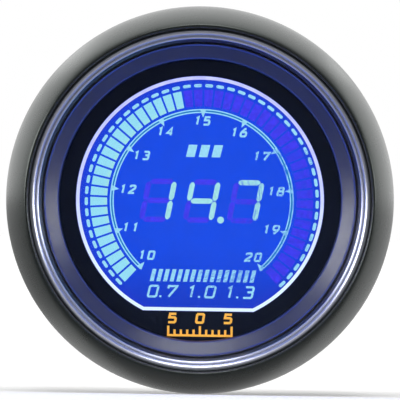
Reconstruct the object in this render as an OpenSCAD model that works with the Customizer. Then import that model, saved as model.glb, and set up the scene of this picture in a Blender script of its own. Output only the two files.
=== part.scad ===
// Round panel gauge with a segmented liquid-crystal dial, a clamp bracket and two thumb nuts.
// The face looks towards -Y and +Z is up. The origin is the centre of the seat that lies on
// the panel. Every module is drawn about the gauge's own axis, with z towards the viewer and
// z = 0 at the seat, and facing() then stands it up in that frame.

/* [Case] */
// Outside diameter of the body that passes through the panel
body_d = 52.4; // [46:0.1:62]
// Depth of the body behind the panel seat
body_depth = 28; // [26:0.5:40]
// Thickness of the body's side wall
case_wall = 1.8; // [1.4:0.1:2.2]
// Thickness of the body's back wall
back_wall = 2; // [1.6:0.1:3]
// How far the collar stands out beyond the body
collar_out = 0.8; // [0.6:0.1:1.2]
// Height of the collar that the bezel holds
collar_h = 3.2; // [2.8:0.1:4]

/* [Bezel and trim ring] */
// Width of the panel seat, from the body to the bezel's rim
seat_w = 3.8; // [3:0.1:6]
// Thickness of the bezel's rolled rear lip
lip_t = 1.7; // [1.4:0.1:2.2]
// Height of the crest above the lens
crest_h = 2.5; // [2.2:0.1:3.5]
// Height of the bezel's straight side wall
bezel_side_h = 2.4; // [1.5:0.1:3.5]
// Width from the bezel's opening to its crest
crest_in = 0.4; // [0.3:0.05:0.8]
// Width of the polished trim ring that shows
trim_w = 2.05; // [1.8:0.05:2.4]
// Height of the trim ring's outer bead above the lens
trim_h = 1.4; // [1.2:0.1:1.7]

/* [Lens and visor] */
// Thickness of the lens
lens_t = 1.6; // [1.2:0.1:2.2]
// Thickness of the lens seal
seal_t = 0.4; // [0.3:0.1:0.6]
// Width of the visor's sloping face, seen from the front
visor_w = 2.4; // [1.8:0.1:3]
// Depth of the visor
visor_depth = 2.9; // [2.4:0.1:3.2]

/* [Dial window] */
// Width of the black dial between visor and window
mask_w = 2.58; // [2:0.01:3]
// Thickness of the dial mask
mask_t = 0.5; // [0.4:0.1:0.8]
// Width of the lit border round the window
border_w = 0.52; // [0.5:0.01:0.8]
// Rise of the window's straight lower edge above its round outline
chord_rise = 2.01; // [1.6:0.01:2.6]

/* [Scale] */
// Marks round the scale
mark_count = 50; // [30:1:50]
// Bars that are lit
lit_count = 23; // [1:1:29]
// Angle from the first mark to the last
sweep = 270; // [240:1:280]
// Angle from the first numbered tick to the last
tick_sweep = 275.2; // [250:0.1:285]
// Distance from the window to the ring of dashes
dash_in = 0.77; // [0.65:0.01:0.9]
// Length of a dash
dash_l = 1.24; // [0.8:0.01:1.4]
// Width of a dash
dash_w = 0.5; // [0.4:0.01:0.6]
// Distance from the ring of dashes to the outer end of the bars
bar_in = 0.62; // [0.45:0.01:0.8]
// Length of a bar
bar_l = 2.6; // [2:0.1:3]
// Gap between neighbouring bars
bar_gap = 0.3; // [0.2:0.01:0.4]
// Distance from the bars to the scale's double line
line_in = 0.41; // [0.3:0.01:0.6]
// Width of one line
line_w = 0.19; // [0.12:0.01:0.25]
// Distance between the two lines
line_gap = 0.23; // [0.2:0.01:0.4]
// Numbered ticks
tick_count = 11; // [6:5:11]
// Width of a tick at the double line
tick_w = 0.95; // [0.6:0.01:1.2]
// How far a tick points in past the double line
tick_l = 0.72; // [0.4:0.01:1]
// Sideways offset of the artwork in the window, as fitted
art_dx = 0.28; // [0:0.01:0.4]
// Upward offset of the artwork in the window, as fitted
art_dy = -0.14; // [-0.2:0.01:0.2]

/* [Readout] */
// Height of a digit between its outer segments' centre lines
digit_h = 5.9; // [4.5:0.1:7]
// Width of a digit between its upright segments' centre lines
digit_w = 3.95; // [3:0.05:4.2]
// Distance from one digit to the next
digit_step = 6.78; // [6.2:0.01:7]
// Width of a segment
segment_w = 0.82; // [0.5:0.01:0.95]
// Gap where two segments meet
segment_gap = 0.13; // [0.08:0.01:0.2]
// Lean of the digits in degrees
digit_lean = 10.5; // [0:0.5:12]
// Diameter of the decimal point
point_d = 1.06; // [0.6:0.01:1.2]

/* [Display stack] */
// Margin of the glass outside the window
glass_margin = 0.32; // [0.2:0.01:0.6]
// Thickness of each glass plate
glass_t = 0.7; // [0.5:0.1:1.1]
// Length of the rear plate's contact ledge
ledge_l = 1.8; // [1.6:0.1:2]
// Thickness of each polariser film
film_t = 0.2; // [0.1:0.05:0.3]
// Thickness of the liquid-crystal layer with its electrodes
crystal_t = 0.16; // [0.12:0.01:0.3]
// Thickness of the diffuser sheet
diffuser_t = 0.3; // [0.2:0.1:0.5]
// Thickness of the light guide
guide_t = 2.2; // [1.8:0.1:3]
// Thickness of the reflector sheet
reflector_t = 0.2; // [0.1:0.05:0.4]
// Contact pins on the ledge
contact_count = 12; // [6:1:12]
// Lamps along each side of the light guide
lamp_count = 3; // [2:1:4]

/* [Boards] */
// Thickness of both circuit boards
board_t = 1.6; // [1.2:0.1:2]
// Space between the two boards
board_space = 9.2; // [8.5:0.1:10]
// Pins in each row of the header between the boards
header_count = 6; // [4:1:6]
// Distance from pin to pin in the header
header_pitch = 2.54; // [2:0.01:2.54]

/* [Rear socket] */
// Contacts in the rear socket
socket_count = 5; // [3:1:5]
// Distance between the socket's contacts
socket_pitch = 2.5; // [2:0.05:2.6]
// Height of the socket's mouth
mouth_h = 6; // [5:0.1:6.6]
// Thickness of the socket's wall
socket_wall = 1; // [0.8:0.1:1.2]
// Length of contact that stands in the socket
contact_l = 5; // [3:0.1:5.4]

/* [Studs and clamp] */
// Distance between the two studs
stud_spacing = 32; // [30:0.5:34]
// Diameter of the studs' thread
stud_d = 4; // [3:0.5:4]
// Stud left free behind the nuts
stud_spare = 4.7; // [3:0.1:8]
// Width of the clamp's strip
clamp_w = 14; // [12:0.5:16]
// Thickness of the clamp's strip
clamp_t = 1.5; // [1.2:0.1:2]
// Clearance between the body and each clamp leg
clamp_gap = 1; // [0.6:0.1:2]
// Thinnest panel that the clamp can hold
panel_min = 1; // [0.6:0.1:2]
// Gap between the seat and the clamp's feet, as drawn
panel_gap = 6; // [5:0.5:10]
// Diameter of the thumb nuts
nut_d = 11; // [9:0.5:13]
// Height of the thumb nuts
nut_h = 7; // [5:0.5:8]
// Ridges round a thumb nut
ridge_count = 24; // [16:1:32]

/* [Hidden] */
$fn = 96;

// Overrun of every cut past the face it opens
cut = 0.5;
// Clearance between inner pieces that drop into each other
fit_gap = 0.2;
// Clearance between a pin or screw and its hole
pin_gap = 0.05;
// Points on a rounded stretch of an outline
arc_steps = 10;

// Case values
body_r = body_d / 2;
bore_r = body_r - case_wall;
neck_in = 0.3;
neck_r = body_r - neck_in;
collar_r = body_r + collar_out;
collar_base_z = lip_t;
rim_z = collar_base_z + collar_h;
floor_z = back_wall - body_depth;
back_chamfer = 0.8;
rib_w = 2.4;
rib_l = 1.6;
rib_angles = [15, 165, 195, 345];
pad_t = 0.6;
pad_margin = 1.6;

// Bezel, trim ring, seal and lens values
bezel_r = body_r + seat_w;
chamber_r = collar_r + pin_gap;
lip_cover = 0.45;
lip_relief = 0.15;
opening_r = chamber_r - lip_cover;
crest_r = opening_r + crest_in;
seal_z = rim_z;
lens_z = seal_z + seal_t;
lens_r = collar_r - fit_gap;
lens_bevel = 0.25;
lens_front_z = lens_z + lens_t;
crest_z = lens_front_z + crest_h;
rim_chamfer = 0.5;
// Exponent of the crest's curve: near 1 makes its middle a straight cone
crest_power_share = 1.3;
crest_roll_h = 0.7;
trim_flange_t = 0.6;
trim_r = opening_r - fit_gap / 2;
trim_in_r = trim_r - trim_w;
trim_lip_h = 0.5;
trim_valley_share = 0.455;
trim_flank_share = 0.21;
trim_groove_share = 0.06;

// Visor, mask and window values
visor_r = bore_r - fit_gap / 2;
visor_rim = 0.15;
visor_mouth_r = visor_r - visor_rim;
visor_in_r = visor_mouth_r - visor_w;
visor_z = rim_z - visor_depth;
visor_edge = 0.25;
mask_z = visor_z - mask_t;
window_r = visor_in_r - mask_w;
window_in_r = window_r - border_w;
window_drop = window_r - chord_rise;
window_in_drop = window_drop - border_w;
border_step = 0.1;

// Display stack, from the front film back
film_z = mask_z - film_t;
front_glass_z = film_z - glass_t;
crystal_z = front_glass_z - crystal_t;
electrode_t = crystal_t / 2;
rear_glass_z = crystal_z - glass_t;
rear_film_z = rear_glass_z - film_t;
diffuser_z = rear_film_z - diffuser_t;
guide_z = diffuser_z - guide_t;
reflector_z = guide_z - reflector_t;
glass_half = window_r + glass_margin;
octagon_angle = 22.5;
octagon_sides = 8;
octagon_r = glass_half / cos(octagon_angle);
flat_half = glass_half * tan(octagon_angle);
film_inset = 0.25;
pocket_half = glass_half + fit_gap;
contact_pitch = 2 * flat_half * 0.94 / contact_count;
contact_w = contact_pitch * 0.4;
contact_t = 0.25;
contact_grip = 1.1;
contact_tail = 1.4;
ledge_y = -glass_half - ledge_l;
ledge_half = flat_half - fit_gap;
ledge_pocket_y = ledge_y - 2 * contact_t - fit_gap;
lamp_size = [1, 2.8, 1.6];
lamp_step = 2 * flat_half * 0.85 / lamp_count;
lamp_x = glass_half + fit_gap;

// Artwork of the dial
mark_step = sweep / (mark_count - 1);
dash_r = window_in_r - dash_in;
bar_out_r = dash_r - bar_in;
bar_in_r = bar_out_r - bar_l;
line_out_r = bar_in_r - line_in;
line_mid_r = line_out_r - line_w;
line_in_r = line_mid_r - line_gap;
line_end_r = line_in_r - line_w;
line_over_angle = 1;
line_end_angle = tick_sweep / 2 + line_over_angle;
tip_share = 0.55;
blunt_share = 0.4;
// Segments that are lit in each digit: 0 top, 1 and 2 right, 3 bottom, 4 and 5 left, 6 middle
lit_segments = [[1, 2], [1, 2, 5, 6], [0, 1, 2]];
all_segments = [0, 1, 2, 3, 4, 5, 6];
point_x = 0.435 * digit_step;
point_y = -0.49 * digit_h;

// Board values
display_board_r = bore_r - fit_gap;
display_board_z = reflector_z - board_t;
main_board_z = display_board_z - board_space - board_t;
main_board_r = bore_r - rib_l - 2 * fit_gap;
main_board_front_z = main_board_z + board_t;
frame_screw_r = (pocket_half + display_board_r) / 2;
frame_screw_angles = [45, 135, 225, 315];
frame_screw_d = 1.6;
frame_screw_l = 2.6;
frame_head_d = 2.8;
frame_head_t = 1;
board_boss_d = 5.2;
board_screw_d = 2;
board_head_d = 3.8;
board_head_t = 1.5;
board_screw_l = 5;
board_boss_r = 0.8 * main_board_r;
board_boss_angles = [90, 210, 330];
header_y = 0.44 * main_board_r;
header_w = header_count * header_pitch;
header_depth = 2 * header_pitch;
header_base_t = 2.5;
header_pin_w = 0.64;
header_tail = 1.2;
header_hole_d = 1.1;
header_bite = 5;
driver_size = 10;
driver_t = 1.4;
driver_place_shares = [0, -0.14];
controller_size = 7;
controller_t = 1.1;
controller_place_shares = [0, -0.1];
lead_count = 8;
lead_l = 1;
lead_w = 0.35;
lead_t = 0.2;
lead_span_share = 0.8;
regulator_size = [6.6, 6.1, 2.3];
regulator_tab = [5.4, 1.6, 0.5];
regulator_leg = [0.9, 2.4, 0.5];
regulator_place_shares = [0.6, 0.38];
capacitor_d = 6.3;
capacitor_h = 7;
capacitor_base = [6.6, 6.6, 1];
capacitor_neck = 0.25;
capacitor_places_shares = [[-0.62, 0.3], [-0.62, -0.03]];
resistor_size = [2, 1.25, 0.5];
resistor_cap = 0.35;
resistor_lip = 0.05;
resistor_rows_shares = [-0.38, -0.475];
resistor_columns_shares = [-0.34, -0.17, 0, 0.17];
crystal_can = [11, 4.6, 3.2];
crystal_place_shares = [0.48, -0.1];
crystal_rim = 0.4;
crystal_rim_t = 0.5;

// Rear socket values
socket_y = -0.6 * main_board_r;
mouth_w = socket_count * socket_pitch + socket_wall;
socket_w = mouth_w + 2 * socket_wall;
socket_h = mouth_h + 2 * socket_wall;
socket_floor = 2;
socket_depth = main_board_z + body_depth;
contact_pin_w = 0.64;
contact_back = 1.2;
contact_hole_d = 1.05;
key_w = 1.6;
port_gap = 0.3;

// Stud, clamp and nut values
stud_r = stud_d / 2;
stud_x = stud_spacing / 2;
stud_head_d = 1.9 * stud_d;
stud_head_t = 0.7 * stud_d;
hex_sides = 6;
stud_point = 0.5;
clamp_leg = body_depth + pad_t - panel_min;
clamp_inner_x = body_r + clamp_gap;
clamp_outer_x = clamp_inner_x + clamp_t;
clamp_foot_z = -panel_gap;
clamp_bar_z = clamp_foot_z - clamp_leg;
clamp_bend = 1;
clamp_hole_gap = 0.25;
clamp_corner = 2;
washer_t = 0.8;
washer_r = 2.2 * stud_r;
washer_gap = 0.15;
washer_z = clamp_bar_z - clamp_t - washer_t;
nut_r = nut_d / 2;
nut_z = washer_z - nut_h;
nut_collar_h = 0.3 * nut_h;
nut_collar_r = 0.68 * nut_r;
nut_gap = 0.05;
ridge_depth = 0.35;
nut_chamfer = 0.5;
stud_end_z = nut_z - stud_spare;

// Points of an arc or of a rounder or flatter one, by its power
function arc(centre, radii, from, to, power = 2) = [
    for (i = [0:arc_steps])
        let (a = from + (to - from) * i / arc_steps)
            [centre.x + radii.x * bow(cos(a), power), centre.y + radii.y * bow(sin(a), power)]
];
function bow(value, power) = sign(value) * pow(abs(value), 2 / power);

// Direction of a mark, clockwise from the top of the dial
function dial_angle(i, count, whole = sweep) = whole * (i / (count - 1) - 1 / 2);
function ray(a, r) = [r * sin(a), r * cos(a)];
function lean(p) = [p.x + p.y * tan(digit_lean), p.y];
// True when value is in list
function has(list, value) = len([for (v = list) if (v == value) v]) > 0;

// Turns the gauge's own axes into the frame that the file describes
module facing() {
    rotate([90, 0, 0])
        children();
}

// Flat shape raised between two heights
module slab(from_z, height) {
    translate([0, 0, from_z])
        linear_extrude(height)
            children();
}

// Outline in radius and height turned about the gauge's axis
module turned(points) {
    rotate_extrude()
        polygon(points);
}

module at_angles(angles, r) {
    for (a = angles)
        translate([r * cos(a), r * sin(a)])
            children();
}

module octagon(half) {
    rotate(octagon_angle)
        circle(half / cos(octagon_angle), $fn = octagon_sides);
}

module centred_square(size) {
    square(size, center = true);
}

// Round window with a straight lower edge
module window_shape(r, drop) {
    intersection() {
        circle(r);
        translate([-r, -drop])
            square([2 * r, r + drop]);
    }
}

module bezel_ring() {
    inner = neck_r + pin_gap;
    lip_under_z = lens_front_z + trim_flange_t;
    outline = concat(
        [[inner, lip_t / 4], [body_r + lip_relief, 0]],
        [[bezel_r - rim_chamfer, 0], [bezel_r, rim_chamfer]],
        arc([crest_r, bezel_side_h], [bezel_r - crest_r, crest_z - bezel_side_h], 0, 90,
            crest_power_share),
        arc([crest_r, crest_z - crest_roll_h], [crest_in, crest_roll_h], 90 + 90 / arc_steps, 180),
        [[opening_r, lip_under_z], [chamber_r, lip_under_z], [chamber_r, collar_base_z]],
        [[inner, collar_base_z]]
    );
    color([0.27, 0.29, 0.29])
        facing()
            turned(outline);
}

// Polished ring with a sloping inner flank, a low inner bead, a groove and a high outer bead
module trim_ring() {
    valley_r = trim_in_r + trim_w * trim_valley_share;
    flank_r = trim_in_r + trim_w * trim_flank_share;
    groove = trim_w * trim_groove_share / 2;
    base_z = lens_front_z + trim_lip_h;
    inner_half = (valley_r - groove - flank_r) / 2;
    outer_half = (trim_r - valley_r - groove) / 2;
    outline = concat(
        [[trim_in_r, lens_front_z], [trim_r + lip_cover, lens_front_z]],
        [[trim_r + lip_cover, lens_front_z + trim_flange_t], [trim_r, lens_front_z + trim_flange_t]],
        arc([trim_r - outer_half, base_z + fit_gap], [outer_half, trim_h - trim_lip_h - fit_gap], 0, 180),
        [[valley_r, base_z]],
        arc([flank_r + inner_half, base_z], [inner_half, (trim_h - trim_lip_h) / 2], 0, 150)
    );
    color([0.78, 0.79, 0.86])
        facing()
            turned(outline);
}

module lens() {
    color([0.85, 0.9, 0.95, 0.25])
        facing()
            turned([
                [0, lens_z],
                [lens_r, lens_z],
                [lens_r, lens_front_z - lens_bevel],
                [lens_r - lens_bevel, lens_front_z],
                [0, lens_front_z]
            ]);
}

module lens_seal() {
    color([0.08, 0.08, 0.08])
        facing()
            slab(seal_z, seal_t)
                difference() {
                    circle(lens_r);
                    circle(bore_r + fit_gap);
                }
}

// Funnel that leads the eye down to the dial, with a small rounded lower edge
module visor() {
    top_z = rim_z - visor_edge;
    color([0.33, 0.31, 0.32])
        facing()
            turned(concat(
                [[visor_r, visor_z], [visor_r, rim_z], [visor_mouth_r, rim_z]],
                [[visor_mouth_r - visor_rim, top_z]],
                [[visor_in_r + visor_rim, visor_z + 2 * visor_edge], [visor_in_r, visor_z + visor_edge]],
                [[visor_in_r, visor_z]]
            ));
}

module dial_mask() {
    color([0.05, 0.06, 0.08])
        facing()
            slab(mask_z, mask_t)
                difference() {
                    circle(visor_r);
                    window_shape(window_r + pin_gap, window_drop + pin_gap);
                }
}

module window_border() {
    color([0.84, 0.88, 1])
        facing()
            slab(mask_z, mask_t - border_step)
                difference() {
                    window_shape(window_r, window_drop);
                    window_shape(window_in_r, window_in_drop);
                }
}

module front_polariser() {
    color([0.5, 0.6, 0.9, 0.15])
        facing()
            slab(film_z, film_t)
                octagon(glass_half - film_inset);
}

module front_glass() {
    color([0.7, 0.8, 0.95, 0.15])
        facing()
            slab(front_glass_z, glass_t)
                octagon(glass_half);
}

// Artwork shapes lie on the front plate's back face, as its transparent electrodes do
module electrodes() {
    facing()
        slab(front_glass_z - electrode_t, electrode_t)
            translate([art_dx, art_dy])
                children();
}

module scale_dashes() {
    flat = (dash_l - dash_w) / 2;
    color([0.6, 0.88, 1])
        electrodes()
            for (i = [0:mark_count - 1])
                rotate(-dial_angle(i, mark_count))
                    translate([0, dash_r])
                        union() {
                            centred_square([2 * flat, dash_w]);
                            for (side = [-1, 1])
                                translate([side * flat, 0])
                                    circle(dash_w / 2, $fn = 24);
                        }
}

// One bar of the scale: its sides run parallel to its neighbours'
module bar(i) {
    a = dial_angle(i, mark_count);
    per_radius = mark_step * PI / 180;
    outer_half = (bar_out_r * per_radius - bar_gap) / 2;
    inner_half = (bar_in_r * per_radius - bar_gap) / 2;
    rotate(-a)
        polygon([
            [-inner_half, bar_in_r],
            [inner_half, bar_in_r],
            [outer_half, bar_out_r],
            [-outer_half, bar_out_r]
        ]);
}

module lit_bars() {
    color([0.62, 0.9, 0.94])
        electrodes()
            for (i = [0:lit_count - 1])
                bar(i);
}

module unlit_bars() {
    color([0.24, 0.22, 0.94])
        electrodes()
            for (i = [lit_count:mark_count - 1])
                bar(i);
}

// Ring that runs over the scale's sweep only
module scale_ring(outer, inner) {
    far = 2 * outer;
    end = line_end_angle;
    difference() {
        circle(outer);
        circle(inner);
        polygon([[0, 0], ray(end, far), ray((end + 180) / 2, far), ray(180, far),
            ray(-(end + 180) / 2, far), ray(-end, far)]);
    }
}

// Double line with a tick at each number, whose point looks inwards
module scale_lines() {
    color([0.5, 0.86, 0.98])
        electrodes()
            union() {
                scale_ring(line_out_r, line_mid_r);
                scale_ring(line_in_r, line_end_r);
                for (i = [0:tick_count - 1])
                    rotate(-dial_angle(i, tick_count, tick_sweep))
                        polygon([
                            [-tick_w / 2, line_out_r - line_w / 2],
                            [tick_w / 2, line_out_r - line_w / 2],
                            [0, line_end_r - tick_l]
                        ]);
            }
}

// Segment outline with blunt pointed ends, lying along x
function segment_points(length) = [
    [-length / 2, segment_w * blunt_share / 2],
    [-length / 2 + segment_w * (1 - tip_share), segment_w / 2],
    [length / 2 - segment_w * (1 - tip_share), segment_w / 2],
    [length / 2, segment_w * blunt_share / 2],
    [length / 2, -segment_w * blunt_share / 2],
    [length / 2 - segment_w * (1 - tip_share), -segment_w / 2],
    [-length / 2 + segment_w * (1 - tip_share), -segment_w / 2],
    [-length / 2, -segment_w * blunt_share / 2]
];
// Middle of each segment, as a share of the digit's width and height
segment_places_shares = [[0, 0.5], [0.5, 0.25], [0.5, -0.25], [0, -0.5], [-0.5, -0.25], [-0.5, 0.25], [0, 0]];
segment_upright = [false, true, true, false, true, true, false];

module segment(which) {
    upright = segment_upright[which];
    middle = [segment_places_shares[which].x * digit_w, segment_places_shares[which].y * digit_h];
    // A level segment ends short of the upright ones' blunt tips
    run = upright
        ? digit_h / 2 - segment_gap
        : digit_w - 2 * segment_gap - segment_w * blunt_share;
    polygon([
        for (p = segment_points(run))
            lean(upright ? middle + [p.y, p.x] : middle + p)
    ]);
}

// Segments of the three digits, those lit or those not
module digits(lit) {
    for (d = [0:len(lit_segments) - 1])
        translate([(d - 1) * digit_step, 0])
            for (s = all_segments)
                if (has(lit_segments[d], s) == lit)
                    segment(s);
}

module lit_digits() {
    color([0.62, 0.9, 0.96])
        electrodes()
            union() {
                digits(true);
                translate([point_x, point_y])
                    circle(point_d / 2, $fn = 32);
            }
}

module unlit_digits() {
    color([0.26, 0.25, 0.96])
        electrodes()
            digits(false);
}

module crystal_layer() {
    color([0.1, 0.28, 0.9])
        facing()
            slab(crystal_z, crystal_t - electrode_t)
                octagon(glass_half - film_inset);
}

// The rear plate is longer at its lower edge, where the contacts grip it
module rear_glass() {
    color([0.7, 0.8, 0.95, 0.2])
        facing()
            slab(rear_glass_z, glass_t)
                union() {
                    octagon(glass_half);
                    translate([-ledge_half, ledge_y])
                        square([2 * ledge_half, ledge_l + glass_half / 2]);
                }
}

module rear_polariser() {
    color([0.35, 0.4, 0.7, 0.5])
        facing()
            slab(rear_film_z, film_t)
                octagon(glass_half - film_inset);
}

module diffuser_sheet() {
    color([0.95, 0.96, 1])
        facing()
            slab(diffuser_z, diffuser_t)
                octagon(glass_half);
}

module light_guide() {
    color([0.85, 0.92, 1, 0.5])
        facing()
            slab(guide_z, guide_t)
                octagon(glass_half);
}

module reflector_sheet() {
    color([0.97, 0.97, 0.97])
        facing()
            slab(reflector_z, reflector_t)
                octagon(glass_half);
}

module lamp_places() {
    for (side = [-1, 1])
        for (i = [0:lamp_count - 1])
            translate([side * (lamp_x + lamp_size.x / 2), (i - (lamp_count - 1) / 2) * lamp_step])
                children();
}

module contact_places() {
    for (i = [0:contact_count - 1])
        translate([(i - (contact_count - 1) / 2) * contact_pitch, 0])
            children();
}

// Moulded frame that holds the glass, the light guide and the lamps on the board
module display_frame() {
    height = mask_z - reflector_z;
    lamp_room = [lamp_size.x + 2 * fit_gap, lamp_size.y + 2 * fit_gap];
    color([0.9, 0.9, 0.88])
        facing()
            difference() {
                slab(reflector_z, height)
                    circle(display_board_r);
                slab(reflector_z - cut, height + 2 * cut)
                    octagon(pocket_half);
                slab(reflector_z - cut, lamp_size.z + fit_gap + cut)
                    lamp_places()
                        centred_square(lamp_room);
                slab(reflector_z - cut, height + 2 * cut)
                    translate([-flat_half, ledge_pocket_y])
                        square([2 * flat_half, glass_half - ledge_pocket_y - glass_half / 2]);
                slab(reflector_z - cut, frame_screw_l + cut)
                    at_angles(frame_screw_angles, frame_screw_r)
                        circle(frame_screw_d / 2 + pin_gap, $fn = 24);
            }
}

module backlight_lamps() {
    color([0.98, 0.95, 0.75])
        facing()
            slab(reflector_z, lamp_size.z)
                lamp_places()
                    centred_square([lamp_size.x, lamp_size.y]);
}

// Sprung pins: each grips the ledge and runs back through the display board
module glass_contacts() {
    grip_z = rear_glass_z + glass_t;
    tail_z = display_board_z - contact_tail;
    color([0.83, 0.8, 0.7])
        facing()
            contact_places()
                union() {
                    translate([-contact_w / 2, ledge_y - contact_t - pin_gap, tail_z])
                        cube([contact_w, contact_t, grip_z + contact_t - tail_z]);
                    translate([-contact_w / 2, ledge_y - contact_t - pin_gap, grip_z])
                        cube([contact_w, contact_t + pin_gap + contact_grip, contact_t]);
                }
}

module display_board() {
    hole = contact_w / 2 + 2 * pin_gap;
    color([0.1, 0.3, 0.16])
        facing()
            difference() {
                slab(display_board_z, board_t)
                    circle(display_board_r);
                slab(display_board_z - cut, board_t + 2 * cut)
                    union() {
                        contact_places()
                            translate([0, ledge_y - contact_t / 2 - pin_gap])
                                centred_square([2 * hole, contact_t + 4 * pin_gap]);
                        at_angles(frame_screw_angles, frame_screw_r)
                            circle(frame_screw_d / 2 + pin_gap, $fn = 24);
                    }
            }
}

// Flat chip with bent leads on its four sides, standing on z = 0
module leaded_chip(size, height) {
    pitch = size * lead_span_share / (lead_count - 1);
    union() {
        translate([-size / 2, -size / 2, lead_t])
            cube([size, size, height - lead_t]);
        for (turn = [0:90:270])
            rotate(turn)
                for (i = [0:lead_count - 1])
                    translate([(i - (lead_count - 1) / 2) * pitch - lead_w / 2, 0, 0])
                        rotate([90, 0, 90])
                            linear_extrude(lead_w)
                                polygon([
                                    [size / 2 - lead_t, height / 2],
                                    [size / 2 + lead_l / 2, height / 2],
                                    [size / 2 + lead_l / 2, lead_t],
                                    [size / 2 + lead_l, lead_t],
                                    [size / 2 + lead_l, 0],
                                    [size / 2 + lead_l / 2 - lead_t, 0],
                                    [size / 2 + lead_l / 2 - lead_t, height / 2 - lead_t],
                                    [size / 2 - lead_t, height / 2 - lead_t]
                                ]);
    }
}

// Places children on the main board's front face, at a share of its radius
module on_main_board(place) {
    translate([place.x * main_board_r, place.y * main_board_r, main_board_front_z])
        children();
}

module display_driver() {
    color([0.1, 0.1, 0.11])
        facing()
            translate([
                driver_place_shares.x * display_board_r,
                driver_place_shares.y * display_board_r,
                display_board_z
            ])
                mirror([0, 0, 1])
                    leaded_chip(driver_size, driver_t);
}

module frame_screws() {
    color([0.7, 0.7, 0.72])
        facing()
            at_angles(frame_screw_angles, frame_screw_r)
                union() {
                    slab(display_board_z - frame_head_t, frame_head_t)
                        circle(frame_head_d / 2, $fn = 32);
                    slab(display_board_z - frame_head_t / 2, frame_head_t / 2 + board_t + frame_screw_l - fit_gap)
                        circle(frame_screw_d / 2, $fn = 24);
                }
}

module header_places() {
    for (row = [-1, 1])
        for (i = [0:header_count - 1])
            translate([(i - (header_count - 1) / 2) * header_pitch, header_y + row * header_pitch / 2])
                children();
}

// Socket strip under the display board that takes the main board's pins
module header_socket() {
    height = board_space - header_base_t;
    color([0.07, 0.07, 0.08])
        facing()
            difference() {
                slab(display_board_z - height, height)
                    translate([0, header_y])
                        centred_square([header_w, header_depth]);
                slab(display_board_z - height - cut, header_bite + cut)
                    header_places()
                        circle(header_hole_d / 2, $fn = 24);
            }
}

// Twelve square pins in their own base strip on the main board
module header_pins() {
    top_z = main_board_front_z + header_base_t;
    color([0.8, 0.68, 0.35])
        facing()
            union() {
                slab(main_board_front_z, header_base_t)
                    translate([0, header_y])
                        centred_square([header_w, header_depth]);
                slab(main_board_z - header_tail, top_z + header_bite - fit_gap - main_board_z + header_tail)
                    header_places()
                        centred_square([header_pin_w, header_pin_w]);
            }
}

module socket_contact_places() {
    for (i = [0:socket_count - 1])
        translate([(i - (socket_count - 1) / 2) * socket_pitch, socket_y])
            children();
}

module main_board() {
    color([0.1, 0.3, 0.16])
        facing()
            difference() {
                slab(main_board_z, board_t)
                    circle(main_board_r);
                slab(main_board_z - cut, board_t + 2 * cut)
                    union() {
                        header_places()
                            circle(header_hole_d / 2, $fn = 24);
                        socket_contact_places()
                            circle(contact_hole_d / 2, $fn = 24);
                        at_angles(board_boss_angles, board_boss_r)
                            circle(board_screw_d / 2 + pin_gap, $fn = 24);
                    }
            }
}

module controller_chip() {
    color([0.1, 0.1, 0.11])
        facing()
            on_main_board(controller_place_shares)
                leaded_chip(controller_size, controller_t);
}

module voltage_regulator() {
    color([0.13, 0.13, 0.14])
        facing()
            on_main_board(regulator_place_shares)
                union() {
                    translate([-regulator_size.x / 2, -regulator_size.y / 2, 0])
                        cube(regulator_size);
                    translate([-regulator_tab.x / 2, regulator_size.y / 2 - regulator_tab.y / 2, 0])
                        cube([regulator_tab.x, 1.5 * regulator_tab.y, regulator_tab.z]);
                    for (side = [-1, 1])
                        translate([
                            side * regulator_size.x / 3 - regulator_leg.x / 2,
                            -regulator_size.y / 2 - regulator_leg.y,
                            0
                        ])
                            cube([regulator_leg.x, 2 * regulator_leg.y, regulator_leg.z]);
                }
}

// Cans with a rolled neck on a square plastic base
module capacitors() {
    can_r = capacitor_d / 2;
    neck_z = capacitor_base.z + 2 * capacitor_neck;
    color([0.75, 0.76, 0.78])
        facing()
            for (place = capacitor_places_shares)
                on_main_board(place)
                    union() {
                        translate([-capacitor_base.x / 2, -capacitor_base.y / 2, 0])
                            cube(capacitor_base);
                        turned([
                            [0, 0],
                            [can_r, 0],
                            [can_r, neck_z],
                            [can_r - capacitor_neck, neck_z + capacitor_neck],
                            [can_r, neck_z + 2 * capacitor_neck],
                            [can_r, capacitor_h - capacitor_neck],
                            [can_r - capacitor_neck, capacitor_h],
                            [0, capacitor_h]
                        ]);
                    }
}

module chip_resistors() {
    color([0.16, 0.16, 0.18])
        facing()
            for (row = resistor_rows_shares)
                for (column = resistor_columns_shares)
                    on_main_board([column, row])
                        union() {
                            translate([-resistor_size.x / 2, -resistor_size.y / 2, 0])
                                cube(resistor_size);
                            for (side = [-1, 1])
                                translate([
                                    side * (resistor_size.x - resistor_cap) / 2 - resistor_cap / 2,
                                    -resistor_size.y / 2 - resistor_lip,
                                    0
                                ])
                                    cube([
                                        resistor_cap,
                                        resistor_size.y + 2 * resistor_lip,
                                        resistor_size.z + resistor_lip
                                    ]);
                        }
}

// Stadium-shaped can on its pressed flange
module timing_crystal() {
    color([0.78, 0.78, 0.76])
        facing()
            on_main_board(crystal_place_shares)
                union() {
                    slab(0, crystal_can.z)
                        stadium(crystal_can.x - 2 * crystal_rim, crystal_can.y - 2 * crystal_rim);
                    slab(0, crystal_rim_t)
                        stadium(crystal_can.x, crystal_can.y);
                }
}

module stadium(length, width) {
    centred_square([length - width, width]);
    for (side = [-1, 1])
        translate([side * (length - width) / 2, 0])
            circle(width / 2, $fn = 32);
}

module board_screws() {
    color([0.7, 0.7, 0.72])
        facing()
            at_angles(board_boss_angles, board_boss_r)
                union() {
                    slab(main_board_front_z, board_head_t)
                        circle(board_head_d / 2, $fn = 32);
                    slab(main_board_z - board_screw_l, board_t + board_screw_l + board_head_t / 2)
                        circle(board_screw_d / 2, $fn = 24);
                }
}

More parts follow.
